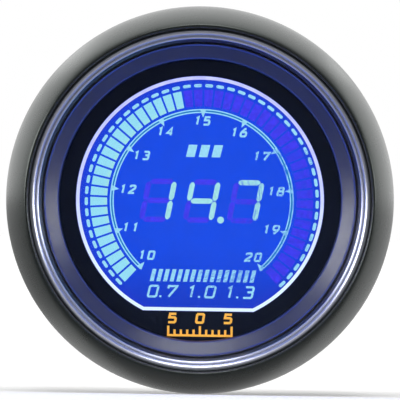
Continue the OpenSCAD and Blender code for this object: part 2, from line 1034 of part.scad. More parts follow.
// Keyed shell that stands on the main board and ends flush with the back of the case
module socket_shell() {
    color([0.93, 0.92, 0.88])
        facing()
            difference() {
                slab(-body_depth, socket_depth)
                    translate([0, socket_y])
                        centred_square([socket_w, socket_h]);
                slab(-body_depth - cut, socket_depth - socket_floor + cut)
                    translate([0, socket_y])
                        centred_square([mouth_w, mouth_h]);
                slab(-body_depth - cut, socket_depth / 2 + cut)
                    for (side = [-1, 1])
                        translate([side * mouth_w / 4, socket_y + mouth_h / 2])
                            centred_square([key_w, socket_wall]);
                slab(main_board_z - socket_floor - cut, socket_floor + 2 * cut)
                    socket_contact_places()
                        centred_square([contact_pin_w + 2 * pin_gap, contact_pin_w + 2 * pin_gap]);
            }
}

module socket_contacts() {
    tip_z = main_board_z - socket_floor - contact_l;
    color([0.83, 0.7, 0.35])
        facing()
            slab(tip_z, main_board_front_z + contact_back - tip_z)
                socket_contact_places()
                    centred_square([contact_pin_w, contact_pin_w]);
}

// Cup that holds everything: collar and crimp neck in front, ribs, bosses and hex seats inside
module rear_case() {
    hex_r = stud_head_d / 2 / cos(30) + fit_gap;
    seat_h = stud_head_t;
    port = [socket_w + 2 * port_gap, socket_h + 2 * port_gap];
    color([0.06, 0.06, 0.065])
        facing()
            difference() {
                union() {
                    turned([
                        [0, -body_depth],
                        [body_r - back_chamfer, -body_depth],
                        [body_r, back_chamfer - body_depth],
                        [body_r, 0],
                        [neck_r, 0],
                        [neck_r, collar_base_z],
                        [collar_r, collar_base_z],
                        [collar_r, rim_z],
                        [bore_r, rim_z],
                        [bore_r, floor_z],
                        [0, floor_z]
                    ]);
                    for (a = rib_angles)
                        rotate(a)
                            translate([bore_r - rib_l, -rib_w / 2, floor_z])
                                cube([rib_l + case_wall / 2, rib_w, display_board_z - floor_z]);
                    slab(floor_z - back_wall / 2, main_board_z - floor_z + back_wall / 2)
                        at_angles(board_boss_angles, board_boss_r)
                            circle(board_boss_d / 2, $fn = 32);
                    slab(floor_z - back_wall / 2, seat_h + back_wall / 2)
                        at_angles([0, 180], stud_x)
                            circle(hex_r + pad_margin, $fn = 48);
                    slab(-body_depth - pad_t, pad_t + back_wall / 2)
                        at_angles([0, 180], stud_x)
                            circle(stud_r + pad_margin, $fn = 48);
                }
                slab(main_board_z - board_screw_l - fit_gap, board_screw_l + fit_gap + cut)
                    at_angles(board_boss_angles, board_boss_r)
                        circle(board_screw_d / 2 + pin_gap, $fn = 24);
                slab(floor_z, seat_h + cut)
                    at_angles([0, 180], stud_x)
                        circle(hex_r, $fn = hex_sides);
                slab(-body_depth - pad_t - cut, back_wall + pad_t + 2 * cut)
                    at_angles([0, 180], stud_x)
                        circle(stud_r + pin_gap);
                slab(-body_depth - cut, back_wall + 2 * cut)
                    translate([0, socket_y])
                        centred_square(port);
            }
}

module mounting_studs() {
    color([0.75, 0.76, 0.78])
        facing()
            at_angles([0, 180], stud_x)
                union() {
                    slab(floor_z, stud_head_t)
                        circle(stud_head_d / 2 / cos(30), $fn = hex_sides);
                    turned([
                        [0, stud_end_z],
                        [stud_r - stud_point, stud_end_z],
                        [stud_r, stud_end_z + stud_point],
                        [stud_r, floor_z + stud_head_t / 2],
                        [0, floor_z + stud_head_t / 2]
                    ]);
                }
}

// Quarter bend between the bar and a leg, drawn in the strip's own plane
module clamp_profile() {
    inner_x = clamp_inner_x - clamp_bend;
    bend_z = clamp_bar_z + clamp_bend;
    translate([-inner_x, clamp_bar_z - clamp_t])
        square([2 * inner_x, clamp_t]);
    for (side = [0, 1])
        mirror([side, 0]) {
            translate([clamp_inner_x, bend_z])
                square([clamp_t, clamp_foot_z - bend_z]);
            translate([inner_x, bend_z])
                intersection() {
                    difference() {
                        circle(clamp_bend + clamp_t, $fn = 48);
                        circle(clamp_bend, $fn = 48);
                    }
                    translate([0, -clamp_bend - clamp_t])
                        square(clamp_bend + clamp_t);
                }
        }
}

// Bent steel strip whose two feet press on the back of the panel
module clamp_bracket() {
    color([0.68, 0.69, 0.7])
        facing()
            difference() {
                translate([0, clamp_w / 2, 0])
                    rotate([90, 0, 0])
                        linear_extrude(clamp_w)
                            clamp_profile();
                slab(clamp_bar_z - clamp_t - cut, clamp_t + 2 * cut)
                    at_angles([0, 180], stud_x)
                        circle(stud_r + clamp_hole_gap);
                for (side = [-1, 1])
                    for (edge = [-1, 1])
                        translate([side * (clamp_inner_x + clamp_t / 2), edge * clamp_w / 2, clamp_foot_z])
                            rotate([45, 0, 0])
                                cube([2 * clamp_t, clamp_corner, clamp_corner], center = true);
            }
}

module clamp_washers() {
    color([0.75, 0.75, 0.76])
        facing()
            slab(washer_z, washer_t)
                at_angles([0, 180], stud_x)
                    difference() {
                        circle(washer_r);
                        circle(stud_r + washer_gap);
                    }
}

// Ridged grip outline of a thumb nut
module ridged_circle(r) {
    polygon([
        for (i = [0:2 * ridge_count - 1])
            ray(180 * i / ridge_count, r - (i % 2) * ridge_depth)
    ]);
}

// Nut centred on its stud, with a plain collar towards the clamp
module thumb_nut() {
    grip_h = nut_h - nut_collar_h;
    difference() {
        union() {
            intersection() {
                slab(nut_z, grip_h)
                    ridged_circle(nut_r);
                turned([
                    [0, nut_z],
                    [nut_r - nut_chamfer, nut_z],
                    [nut_r, nut_z + nut_chamfer],
                    [nut_r, nut_z + grip_h - nut_chamfer],
                    [nut_r - nut_chamfer, nut_z + grip_h],
                    [0, nut_z + grip_h]
                ]);
            }
            slab(nut_z + grip_h / 2, nut_h - grip_h / 2)
                circle(nut_collar_r);
        }
        slab(nut_z - cut, nut_h + 2 * cut)
            circle(stud_r + nut_gap);
    }
}

// Left and right are as seen from the front
module left_thumb_nut() {
    color([0.8, 0.69, 0.42])
        facing()
            translate([-stud_x, 0])
                thumb_nut();
}

module right_thumb_nut() {
    color([0.8, 0.69, 0.42])
        facing()
            translate([stud_x, 0])
                thumb_nut();
}

bezel_ring();
trim_ring();
lens();
lens_seal();
visor();
dial_mask();
window_border();
front_polariser();
front_glass();
scale_dashes();
lit_bars();
unlit_bars();
scale_lines();
lit_digits();
unlit_digits();
crystal_layer();
rear_glass();
rear_polariser();
diffuser_sheet();
light_guide();
reflector_sheet();
display_frame();
backlight_lamps();
glass_contacts();
display_board();
display_driver();
frame_screws();
header_socket();
header_pins();
main_board();
controller_chip();
voltage_regulator();
capacitors();
chip_resistors();
timing_crystal();
board_screws();
socket_shell();
socket_contacts();
rear_case();
mounting_studs();
clamp_bracket();
clamp_washers();
left_thumb_nut();
right_thumb_nut();
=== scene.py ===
import math

import bmesh
import bpy
from mathutils import Matrix, Vector


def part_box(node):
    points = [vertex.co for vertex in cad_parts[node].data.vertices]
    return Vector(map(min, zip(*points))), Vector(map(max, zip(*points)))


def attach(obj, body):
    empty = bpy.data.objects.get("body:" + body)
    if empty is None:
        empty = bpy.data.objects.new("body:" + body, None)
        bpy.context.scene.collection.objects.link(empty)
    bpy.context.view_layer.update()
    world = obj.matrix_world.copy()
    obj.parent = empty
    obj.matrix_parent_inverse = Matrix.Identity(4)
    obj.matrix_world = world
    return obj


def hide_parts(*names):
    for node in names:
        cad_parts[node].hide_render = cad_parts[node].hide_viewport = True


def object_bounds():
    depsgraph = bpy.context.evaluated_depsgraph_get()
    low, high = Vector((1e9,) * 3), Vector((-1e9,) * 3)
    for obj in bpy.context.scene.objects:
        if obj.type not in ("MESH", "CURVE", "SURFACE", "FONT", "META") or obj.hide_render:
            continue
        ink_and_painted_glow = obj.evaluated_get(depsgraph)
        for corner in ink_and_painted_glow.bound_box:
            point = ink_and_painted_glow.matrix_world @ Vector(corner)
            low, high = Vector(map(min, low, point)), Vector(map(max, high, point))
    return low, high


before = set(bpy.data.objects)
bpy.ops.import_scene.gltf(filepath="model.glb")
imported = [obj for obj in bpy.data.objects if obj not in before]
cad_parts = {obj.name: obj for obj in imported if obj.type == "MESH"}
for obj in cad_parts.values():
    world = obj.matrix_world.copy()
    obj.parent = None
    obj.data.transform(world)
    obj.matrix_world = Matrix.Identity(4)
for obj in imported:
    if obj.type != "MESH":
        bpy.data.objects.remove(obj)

bl_info = {
    "name": "Panel gauge",
    "version": (1, 0, 0),
    "blender": (4, 5, 0),
    "location": "View3D > Sidebar > Gauge",
    "description": "Dresses the solids of an air fuel ratio gauge and sets it in its studio",
    "category": "Mesh",
}

CAD_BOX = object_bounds()
MM = 0.001
TAU = 2 * math.pi
BODY = "gauge"

# Distance of each stud from the gauge's axis, lean of the display's numbers, and middle of the dial's artwork
STUD_X = 16 * MM
LEAN = math.radians(13)
ARTWORK_MIDDLE = Vector((0.28 * MM, -0.14 * MM))


def linear(red, green, blue):
    """A colour as light, from the 0 to 255 values that a screen shows."""
    shares = (c / 255 for c in (red, green, blue))
    return tuple(c / 12.92 if c <= 0.04045 else ((c + 0.055) / 1.055) ** 2.4 for c in shares)


def depth_of(node, front=True):
    """How far a node's front or back face stands before the panel seat, in metres."""
    low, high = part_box(node)
    return -low.y if front else -high.y


def radius_of(node):
    """Outside radius of a node that lies round the gauge's axis, in metres."""
    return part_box(node)[1].x


def tone(base, factor):
    """A colour made deeper or paler by a factor."""
    return tuple(min(1.0, c * factor) for c in base)


# Sizes and colours that a user may change


def length(name, text, value):
    """Property that holds a length in metres."""
    return bpy.props.FloatProperty(
        name=name, description=text, default=value, min=0, precision=5, unit="LENGTH", subtype="DISTANCE"
    )


def colour(name, text, value):
    """Property that holds a colour."""
    return bpy.props.FloatVectorProperty(
        name=name, description=text, default=value, min=0, max=1, size=3, subtype="COLOR"
    )


def amount(name, text, value, highest):
    """Property that holds a number from 0 to its highest."""
    return bpy.props.FloatProperty(
        name=name, description=text, default=value, min=0, max=highest, subtype="FACTOR"
    )


class BezelSizes(bpy.types.PropertyGroup):
    """Sizes and paint of the bezel"""

    radius: length("Radius", "Outside radius of the bezel", radius_of("bezel_ring"))
    crest: length("Crest", "Height of the crest above the panel seat", depth_of("bezel_ring"))
    opening: length("Opening", "Radius of the bezel's opening", 26.6 * MM)
    seat: length("Seat", "Inner radius of the face that lies on the panel", 26.35 * MM)
    paint: colour("Paint", "Satin charcoal of the bezel", (0.006, 0.0078, 0.008))
    roughness: amount("Roughness", "Roughness of the satin paint", 0.27, 1)


class TrimSizes(bpy.types.PropertyGroup):
    """Size and metal of the polished ring, and the visor's plastic"""

    inner: length("Inner radius", "Inner radius of the polished ring", 24.45 * MM)
    # The metal's strong blue cast is partly the metal's own tint and partly painted reflection of the
    # display's blue light
    metal: colour("Metal", "Polished metal of the ring", (0.82, 0.85, 1.0))
    visor: colour("Visor", "Satin plastic of the visor", (0.005, 0.006, 0.014))


class DialColours(bpy.types.PropertyGroup):
    """Colours of the lit display, its border and the printed marks"""

    field: colour("Field", "Backlit blue in the middle of the display", linear(18, 76, 236))
    low: colour("Lower field", "Backlit blue at the foot of the display", linear(19, 60, 204))
    rim: colour("Rim", "Backlit blue along the display's edge", linear(30, 56, 208))
    unlit: colour("Unlit", "Violet of the segments that are off", linear(70, 64, 250))
    lit: colour("Lit", "Pale cyan of the segments that are on", linear(168, 232, 232))
    marks: colour("Marks", "Pale cyan of dashes, lines and numbers", linear(160, 227, 255))
    teal: colour("Teal", "Dark band between the two lines", linear(0, 126, 212))
    border: colour("Border", "Edge-lit strip round the window", linear(204, 210, 255))
    amber: colour("Amber", "Printed marks under the window", linear(226, 166, 62))


class NumeralSizes(bpy.types.PropertyGroup):
    """Sizes of the scale's numbers"""

    height: length("Height", "Height of a number between its strokes' centre lines", 1.14 * MM)
    width: length("Width", "Width of a number between its strokes' centre lines", 0.8 * MM)
    stroke: length("Stroke", "Width of a stroke", 0.32 * MM)
    pitch: length("Pitch", "Distance from one digit to the next", 1.46 * MM)
    lean: bpy.props.FloatProperty(
        name="Lean", description="Lean of the numbers to the right", default=LEAN, subtype="ANGLE"
    )


class RearSizes(bpy.types.PropertyGroup):
    """Sizes of the thread and of the softened edges"""

    thread: length("Thread pitch", "Pitch of the studs' thread", 0.7 * MM)
    thread_depth: length("Thread depth", "Depth of the studs' thread", 0.4 * MM)
    soft_edge: length("Soft edge", "Rounding along the moulded and pressed edges", 0.14 * MM)


class StudioSettings(bpy.types.PropertyGroup):
    """Light of the lamps and the room, and the camera's distance"""

    left: amount("Left", "Light of the soft lamp on the left", 1.6, 10)
    right: amount("Right", "Light of the soft lamp on the right", 1.5, 10)
    top: amount("Top", "Light of the soft lamp above", 1.1, 10)
    back: amount("Back", "Light of the soft lamps behind", 0.75, 10)
    sky: amount("Sky", "Light of the pale room on the object", 0.12, 2)
    glow: amount("Glow", "Blue light that the display throws on its surround, in watts", 0.019, 1)
    distance: length("Distance", "Distance of the camera from the panel seat", 2.0)


SETTINGS = {
    "gauge_bezel": BezelSizes,
    "gauge_trim": TrimSizes,
    "gauge_dial": DialColours,
    "gauge_numerals": NumeralSizes,
    "gauge_rear": RearSizes,
    "gauge_studio": StudioSettings,
}


# Shader maths


class Signal:
    """A socket that takes part in sums, so that shader maths reads as an expression."""

    def __init__(self, net, socket):
        self.net = net
        self.socket = socket

    def join(self, operation, first, second):
        """Adds the Math node of one operation."""
        return self.net.node("ShaderNodeMath", {"operation": operation}, {0: first, 1: second})

    def __add__(self, other):
        return self.join("ADD", self, other)

    def __radd__(self, other):
        return self.join("ADD", other, self)

    def __sub__(self, other):
        return self.join("SUBTRACT", self, other)

    def __rsub__(self, other):
        return self.join("SUBTRACT", other, self)

    def __mul__(self, other):
        return self.join("MULTIPLY", self, other)

    def __rmul__(self, other):
        return self.join("MULTIPLY", other, self)

    def __truediv__(self, other):
        return self.join("DIVIDE", self, other)

    def __rtruediv__(self, other):
        return self.join("DIVIDE", other, self)


class Net:
    """The node tree of one finish or of the world."""

    def __init__(self, tree):
        self.tree = tree
        tree.nodes.clear()

    def node(self, kind, settings=None, inputs=None, out=0):
        """Adds a node: its settings first, then the values or links of its sockets."""
        made = self.tree.nodes.new(kind)
        for key, value in (settings or {}).items():
            setattr(made, key, value)
        for key, value in (inputs or {}).items():
            self.feed(made.inputs[key], value)
        return Signal(self, made.outputs[out]) if made.outputs else None

    def feed(self, socket, value):
        """Links a signal to a socket, or sets the socket's own value."""
        if isinstance(value, Signal):
            self.tree.links.new(value.socket, socket)
        elif socket.type == "RGBA" and len(value) == 3:
            socket.default_value = (*value, 1)
        else:
            socket.default_value = value

    def place(self):
        """Position on the piece, in metres."""
        return self.node("ShaderNodeTexCoord", out="Object")

    def axis(self, which):
        """One coordinate of the position: X, Y or Z."""
        return self.node("ShaderNodeSeparateXYZ", None, {0: self.place()}, which)

    def scaled(self, factors):
        """Position with each axis multiplied by its own factor."""
        return self.node("ShaderNodeVectorMath", {"operation": "MULTIPLY"}, {0: self.place(), 1: factors})

    def radius(self):
        """Distance from the gauge's axis."""
        flat = self.scaled((1, 0, 1))
        return self.node("ShaderNodeVectorMath", {"operation": "LENGTH"}, {0: flat}, "Value")

    def noise(self, grain, detail=2, stretch=(1, 1, 1), roughness=0.5):
        """Noise from 0 to 1 whose grain is a length in metres."""
        where = self.scaled(tuple(s / grain for s in stretch))
        inputs = {"Vector": where, "Scale": 1, "Detail": detail, "Roughness": roughness}
        return self.node("ShaderNodeTexNoise", None, inputs)

    def lines(self, grain):
        """Noise that runs in rings about the gauge's axis, as a lathe leaves it."""
        return self.node(
            "ShaderNodeTexNoise",
            {"noise_dimensions": "1D"},
            {"W": self.radius() / grain, "Scale": 1, "Detail": 3, "Roughness": 0.7},
        )

    def ramp(self, value, low, high, first=0.0, last=1.0):
        """Smooth step of a value between two limits."""
        return self.node(
            "ShaderNodeMapRange",
            {"interpolation_type": "SMOOTHSTEP"},
            {"Value": value, "From Min": low, "From Max": high, "To Min": first, "To Max": last},
        )

    def mix(self, share, first, second):
        """Colour between two others."""
        return self.node("ShaderNodeMix", {"data_type": "RGBA"}, {0: share, 6: first, 7: second}, 2)

    def depth(self, which):
        """1 where the light path has met such a surface before, and 0 where it hasn't."""
        met = self.node("ShaderNodeLightPath", None, None, which)
        return self.node("ShaderNodeMath", {"operation": "MINIMUM"}, {0: met, 1: 1.0})

    def bump(self, height, distance, strength):
        """Small relief whose full height is a length in metres."""
        inputs = {"Height": height, "Distance": distance, "Strength": strength}
        return self.node("ShaderNodeBump", None, inputs)


class Finish(Net):
    """A material with one shader, whose sockets are set in one call."""

    def __init__(self, name):
        self.material = bpy.data.materials.new(name)
        self.material.use_nodes = True
        super().__init__(self.material.node_tree)

    def shade(self, **values):
        """Sets the shader's sockets, named with underscores."""
        sockets = {name.replace("_", " "): value for name, value in values.items()}
        shader = self.node("ShaderNodeBsdfPrincipled", None, sockets, "BSDF")
        self.node("ShaderNodeOutputMaterial", None, {"Surface": shader})
        return self.material


# Finishes


def satin_paint(paint, roughness):
    """Charcoal paint with a fine powder grain, a little paler where hands rub the crest."""
    f = Finish("satin_paint")
    cloud = f.noise(4 * MM, 3)
    grain = f.noise(0.11 * MM, 2)
    shoulder, crest = -9.0 * MM, -9.4 * MM
    rubbed = f.ramp(f.axis("Y"), shoulder, crest) * f.noise(1.5 * MM, 3)
    base = f.mix(rubbed * 0.5, f.mix(f.ramp(cloud, 0.3, 0.7), paint, tone(paint, 1.35)), tone(paint, 2.1))
    return f.shade(
        Base_Color=base,
        Roughness=roughness - 0.05 + 0.07 * cloud + 0.05 * grain,
        Specular_IOR_Level=0.64,
        Specular_Tint=(0.92, 1.0, 0.95),
        Normal=f.bump(grain, 0.006 * MM, 0.6),
    )


def polished_metal(metal):
    """Lathe-turned bright metal with fine rings and a few long streaks."""
    f = Finish("polished_metal")
    rings = f.lines(0.035 * MM)
    streak = f.noise(2.2 * MM, 3, (1, 0.2, 1))
    shade = f.mix(f.ramp(rings, 0.35, 0.75), tone(metal, 0.86), metal)
    return f.shade(
        Base_Color=f.mix(f.ramp(streak, 0.45, 0.8) * 0.35, shade, tone(metal, 0.8)),
        Metallic=1.0,
        Roughness=0.2 + 0.12 * rings + 0.06 * streak,
        Normal=f.bump(rings, 0.004 * MM, 0.5),
    )


def satin_visor(name, plastic):
    """Smoke plastic with the rings of its turned mould."""
    f = Finish(name)
    rings = f.lines(0.12 * MM)
    cloud = f.noise(3 * MM, 3)
    base = f.mix(f.ramp(cloud, 0.3, 0.7), tone(plastic, 0.9), tone(plastic, 1.1))
    return f.shade(
        Base_Color=base,
        Roughness=0.27 + 0.1 * cloud + 0.06 * rings,
        Specular_IOR_Level=0.9,
        Normal=f.bump(rings + 0.5 * f.noise(0.15 * MM), 0.005 * MM, 0.5),
    )


def matte_black():
    """Blue-black screen print on the dial mask."""
    f = Finish("matte_black")
    speck = f.noise(0.2 * MM, 2)
    base = f.mix(f.ramp(speck, 0.3, 0.8), (0.0085, 0.012, 0.023), (0.0115, 0.0165, 0.032))
    return f.shade(
        Base_Color=base,
        Roughness=0.6 + 0.1 * speck,
        Specular_IOR_Level=0.04,
        Normal=f.bump(speck, 0.0015 * MM, 0.4),
    )


def clear(name, tint, ior):
    """Clear sheet with the faintest polish marks."""
    f = Finish(name)
    haze = f.noise(6 * MM, 3)
    return f.shade(
        Base_Color=f.mix(haze, tint, (1.0, 1.0, 1.0)),
        Roughness=0.012 * f.ramp(haze, 0.5, 0.8),
        IOR=ior,
        Transmission_Weight=1.0,
        Specular_IOR_Level=0.5,
    )


def sheer(name, tint, cover):
    """Thin clear layer bonded to its neighbours, of which only a little haze and gloss shows."""
    f = Finish(name)
    haze = f.noise(5 * MM, 3)
    return f.shade(
        Base_Color=tint,
        Roughness=0.15 + 0.1 * haze,
        Alpha=cover * (0.7 + 0.6 * haze),
        Specular_IOR_Level=0.15,
    )


def glow(f, light, strength=1.06):
    """Shader of a surface that shows its own light and no gloss."""
    return f.shade(
        Base_Color=(0.004, 0.006, 0.012),
        Roughness=0.6,
        Specular_IOR_Level=0.0,
        Emission_Color=light,
        Emission_Strength=strength,
    )


def blue_field(colours):
    """Backlit liquid crystal: deeper at the foot, more violet at the edge, with the guide's faint clouds."""
    f = Finish("blue_field")
    foot = f.ramp(f.axis("Z"), -7 * MM, -17 * MM)
    edge = f.ramp(f.radius(), 16.6 * MM, 19.0 * MM)
    side = f.ramp(f.radius(), 9 * MM, 17 * MM) * 0.5
    cloud = f.ramp(f.noise(2.6 * MM, 3), 0.3, 0.7)
    field = tuple(colours.field)
    middle = f.mix(cloud * 0.5, field, tone(field, 0.9))
    wide = f.mix(side, middle, linear(22, 71, 234))
    return glow(f, f.mix(edge * 0.75, f.mix(foot, wide, tuple(colours.low)), tuple(colours.rim)))


def lit_film(name, light, fade=0.1):
    """Segment that lets the backlight through, a little uneven."""
    f = Finish(name)
    light = tuple(light)
    uneven = f.ramp(f.noise(0.5 * MM, 2), 0.3, 0.7)
    return glow(f, f.mix(uneven, light, tone(light, 1 - fade)))


def lit_bar(colours):
    """Bar of the scale: greener along its middle and bluer towards both ends."""
    f = Finish("lit_bar")
    r = f.radius()
    middle = f.ramp(r, 12.4 * MM, 13.4 * MM) * f.ramp(r, 15.4 * MM, 14.2 * MM)
    uneven = f.ramp(f.noise(0.7 * MM, 2), 0.3, 0.7)
    return glow(f, f.mix(middle * (0.5 + 0.5 * uneven), linear(152, 226, 248), tuple(colours.lit)))


def edge_strip(colours):
    """Edge-lit strip: whitest at the straight foot, lavender round the rest."""
    f = Finish("edge_strip")
    foot = f.ramp(f.axis("Z"), 10 * MM, -17 * MM)
    uneven = f.ramp(f.noise(1.8 * MM, 2), 0.3, 0.7)
    round_part = f.mix(uneven, tuple(colours.border), linear(188, 192, 250))
    return glow(f, f.mix(foot, round_part, linear(226, 246, 255)), 1.08)


def print_with_painted_glow(name, ink):
    """Thin printed ink, with its pin-holes, which also gives off painted light of its own colour, though it
    is only print.
    """
    f = Finish(name)
    ink = tuple(ink)
    worn = f.ramp(f.noise(0.12 * MM, 2), 0.35, 0.6)
    ink_and_painted_glow = f.mix(worn, tone(ink, 0.8), ink)
    # The ink's colour is also sent out as painted glow, so the print looks lit
    return f.shade(
        Base_Color=ink_and_painted_glow, Roughness=0.5 + 0.1 * worn, Emission_Color=ink_and_painted_glow, Emission_Strength=0.75
    )


def moulded(name, plastic, roughness=0.45, texture=0.25 * MM, depth=0.01 * MM):
    """Moulded plastic with the fine texture that the tool's surface gives it."""
    f = Finish(name)
    grain = f.noise(texture, 3, roughness=0.6)
    cloud = f.noise(5 * MM, 2)
    return f.shade(
        Base_Color=f.mix(f.ramp(cloud + 0.3 * grain, 0.4, 0.9), plastic, tone(plastic, 1.25)),
        Roughness=roughness - 0.06 + 0.12 * grain,
        Normal=f.bump(grain, depth, 0.8),
    )


def plated(name, metal, roughness=0.28, along=(1, 1, 1), grain=0.16 * MM, tinge=(0.62, 0.6, 0.52)):
    """Plated or drawn metal with its grain along one direction and a cloudy tinge."""
    f = Finish(name)
    brushed = f.noise(grain, 3, along, 0.65) * 0.6 + f.noise(grain * 9, 3, along, 0.6) * 0.4
    cloud = f.ramp(f.noise(2.5 * MM, 3), 0.45, 0.75)
    tinged = tuple(a * b for a, b in zip(metal, tinge))
    base = f.mix(cloud * 0.4, f.mix(brushed, tone(metal, 0.82), metal), tinged)
    return f.shade(
        Base_Color=base,
        Metallic=1.0,
        Roughness=roughness - 0.08 + 0.2 * brushed,
        Normal=f.bump(brushed, 0.004 * MM, 0.6),
    )


def solder_mask():
    """Green lacquer over copper tracks."""
    f = Finish("solder_mask")
    bands = f.node(
        "ShaderNodeTexWave",
        {"wave_type": "BANDS", "bands_direction": "DIAGONAL"},
        {"Vector": f.place(), "Scale": 260, "Distortion": 3},
    )
    track = f.ramp(bands, 0.55, 0.65)
    return f.shade(
        Base_Color=f.mix(track, (0.012, 0.09, 0.035), (0.03, 0.17, 0.06)),
        Roughness=0.25 + 0.1 * f.noise(0.3 * MM),
        Coat_Weight=0.4,
        Normal=f.bump(track, 0.02 * MM, 0.5),
    )


# Shapes


def piece(name, mesh, body, finish, nodes=(), sharp=32):
    """Makes one piece of a mesh in metres: smooth but for its sharp edges, riding on a body."""
    data = bpy.data.meshes.new(name)
    mesh.to_mesh(data)
    mesh.free()
    data.polygons.foreach_set("use_smooth", [True] * len(data.polygons))
    data.set_sharp_from_angle(angle=math.radians(sharp))
    data.materials.append(finish)
    made = bpy.data.objects.new(name, data)
    bpy.context.scene.collection.objects.link(made)
    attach(made, body)
    if nodes:
        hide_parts(*nodes)
    return made


def dress(finish, *nodes):
    """Gives CAD nodes a finish, in their own material slots."""
    for node in nodes:
        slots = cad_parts[node].material_slots
        if not slots:
            raise RuntimeError(f"{node} has no material slot")
        for held in slots:
            held.material = finish


def arc(centre, radii, start, end, steps, power=2.0):
    """Points of an elliptical arc from start to end in degrees, flatter or fuller by its power."""
    points = []
    for step in range(steps + 1):
        a = math.radians(start + (end - start) * step / steps)
        bow = [math.copysign(abs(s) ** (2 / power), s) for s in (math.cos(a), math.sin(a))]
        points.append((centre[0] + radii[0] * bow[0], centre[1] + radii[1] * bow[1]))
    return points


def closed_up(mesh):
    """The same mesh with its faces turned outwards."""
    bmesh.ops.recalc_face_normals(mesh, faces=mesh.faces)
    return mesh


def turned(outline, steps):
    """Closed outline of radius and height turned about the gauge's axis."""
    mesh = bmesh.new()
    rings = []
    for step in range(steps):
        a = TAU * step / steps
        rings.append([mesh.verts.new((r * math.cos(a), -h, r * math.sin(a))) for r, h in outline])
    count = len(outline)
    for step in range(steps):
        here, there = rings[step], rings[(step + 1) % steps]
        for i in range(count):
            j = (i + 1) % count
            mesh.faces.new((here[i], here[j], there[j], there[i]))
    return closed_up(mesh)


def strip(mesh, points, width, closed, front, back):
    """Adds a flat ribbon along points of the dial, raised between two heights."""
    points = [Vector(p) for p in points]
    count = len(points)
    sides = ([], [])
    for i, here in enumerate(points):
        ways = []
        if i or closed:
            ways.append((here - points[i - 1]).normalized())
        if i < count - 1 or closed:
            ways.append((points[(i + 1) % count] - here).normalized())
        along = sum(ways, Vector((0, 0))).normalized()
        normal = Vector((-along.y, along.x))
        # A corner reaches at most twice as far out as the straight edge
        stretch = 1 / max(0.5, normal.dot(Vector((-ways[-1].y, ways[-1].x))))
        for side, sign in zip(sides, (1, -1)):
            side.append(here + normal * (sign * width / 2 * stretch))
    rows = [
        [mesh.verts.new((p.x, -h, p.y)) for p in side]
        for h in (front, back)
        for side in sides
    ]
    left, right, left_back, right_back = rows
    for i in range(count if closed else count - 1):
        j = (i + 1) % count
        mesh.faces.new((left[i], left[j], right[j], right[i]))
        mesh.faces.new((left_back[i], right_back[i], right_back[j], left_back[j]))
        mesh.faces.new((left[i], left_back[i], left_back[j], left[j]))
        mesh.faces.new((right[i], right[j], right_back[j], right_back[i]))
    if not closed:
        for i in (0, -1):
            mesh.faces.new((left[i], right[i], right_back[i], left_back[i]))


def slab(mesh, outline, front, back):
    """Adds a flat shape of the dial, raised between two heights."""
    faces = [mesh.faces.new([mesh.verts.new((x, -h, y)) for x, y in outline]) for h in (front, back)]
    for i in range(len(outline)):
        j = (i + 1) % len(outline)
        a, b = faces[0].verts, faces[1].verts
        mesh.faces.new((a[i], a[j], b[j], b[i]))


# Strokes of each number in a box from 0 to 1: open lines, or loops that close
STROKES = {
    "0": [("loop", [(0, 0.1), (0, 0.9), (0.12, 1), (0.88, 1), (1, 0.9), (1, 0.1), (0.88, 0), (0.12, 0)])],
    "1": [("line", [(0.22, 0.84), (0.55, 1), (0.55, 0)])],
    "2": [
        ("line", [
            (0.02, 0.78), (0.06, 0.94), (0.2, 1), (0.84, 1), (0.98, 0.9),
            (0.98, 0.68), (0.86, 0.56), (0.1, 0.14), (0.02, 0), (1, 0),
        ]),
    ],
    "3": [
        ("line", [(0.04, 1), (0.86, 1), (1, 0.9), (1, 0.64), (0.88, 0.53), (0.36, 0.53)]),
        ("line", [(0.86, 0.53), (1, 0.42), (1, 0.1), (0.88, 0), (0, 0)]),
    ],
    "4": [("line", [(0.74, 0), (0.74, 1), (0, 0.3), (1, 0.3)])],
    "5": [("line", [(1, 1), (0.1, 1), (0.06, 0.58), (0.84, 0.58), (1, 0.46), (1, 0.12), (0.86, 0), (0, 0)])],
    "6": [
        ("line", [(0.86, 1), (0.62, 1), (0.06, 0.52)]),
        ("loop", [
            (0, 0.12), (0, 0.44), (0.14, 0.56), (0.86, 0.56),
            (1, 0.44), (1, 0.12), (0.86, 0), (0.14, 0),
        ]),
    ],
    "7": [("line", [(0, 0.78), (0.02, 1), (1, 1), (0.94, 0.86), (0.28, 0)])],
    "8": [
        ("loop", [
            (0.1, 0.64), (0.1, 0.9), (0.22, 1), (0.84, 1),
            (0.95, 0.9), (0.95, 0.64), (0.84, 0.54), (0.22, 0.54),
        ]),
        ("loop", [
            (0, 0.12), (0, 0.42), (0.13, 0.54), (0.87, 0.54),
            (1, 0.42), (1, 0.12), (0.87, 0), (0.13, 0),
        ]),
    ],
    "9": [
        ("line", [(0.14, 0), (0.38, 0), (0.94, 0.48)]),
        ("loop", [
            (0, 0.56), (0, 0.88), (0.14, 1), (0.86, 1),
            (1, 0.88), (1, 0.56), (0.86, 0.44), (0.14, 0.44),
        ]),
    ],
    ".": [("line", [(0.4, -0.05), (0.4, 0.12)])],
}

# Middle of each number of the scale, across and up from the gauge's axis, in millimetres
NUMBER_PLACES = {
    "10": (-8.13, -8.64),
    "11": (-10.7, -4.4),
    "12": (-11.22, 1.51),
    "13": (-9.19, 6.78),
    "14": (-5.54, 10.54),
    "15": (0.16, 12.28),
    "16": (5.88, 10.55),
    "17": (9.41, 6.92),
    "18": (11.74, 1.51),
    "19": (11.1, -4.4),
    "20": (8.39, -8.71),
}

# Width that a decimal point takes, as a share of a digit's pitch
POINT_SHARE = 0.55


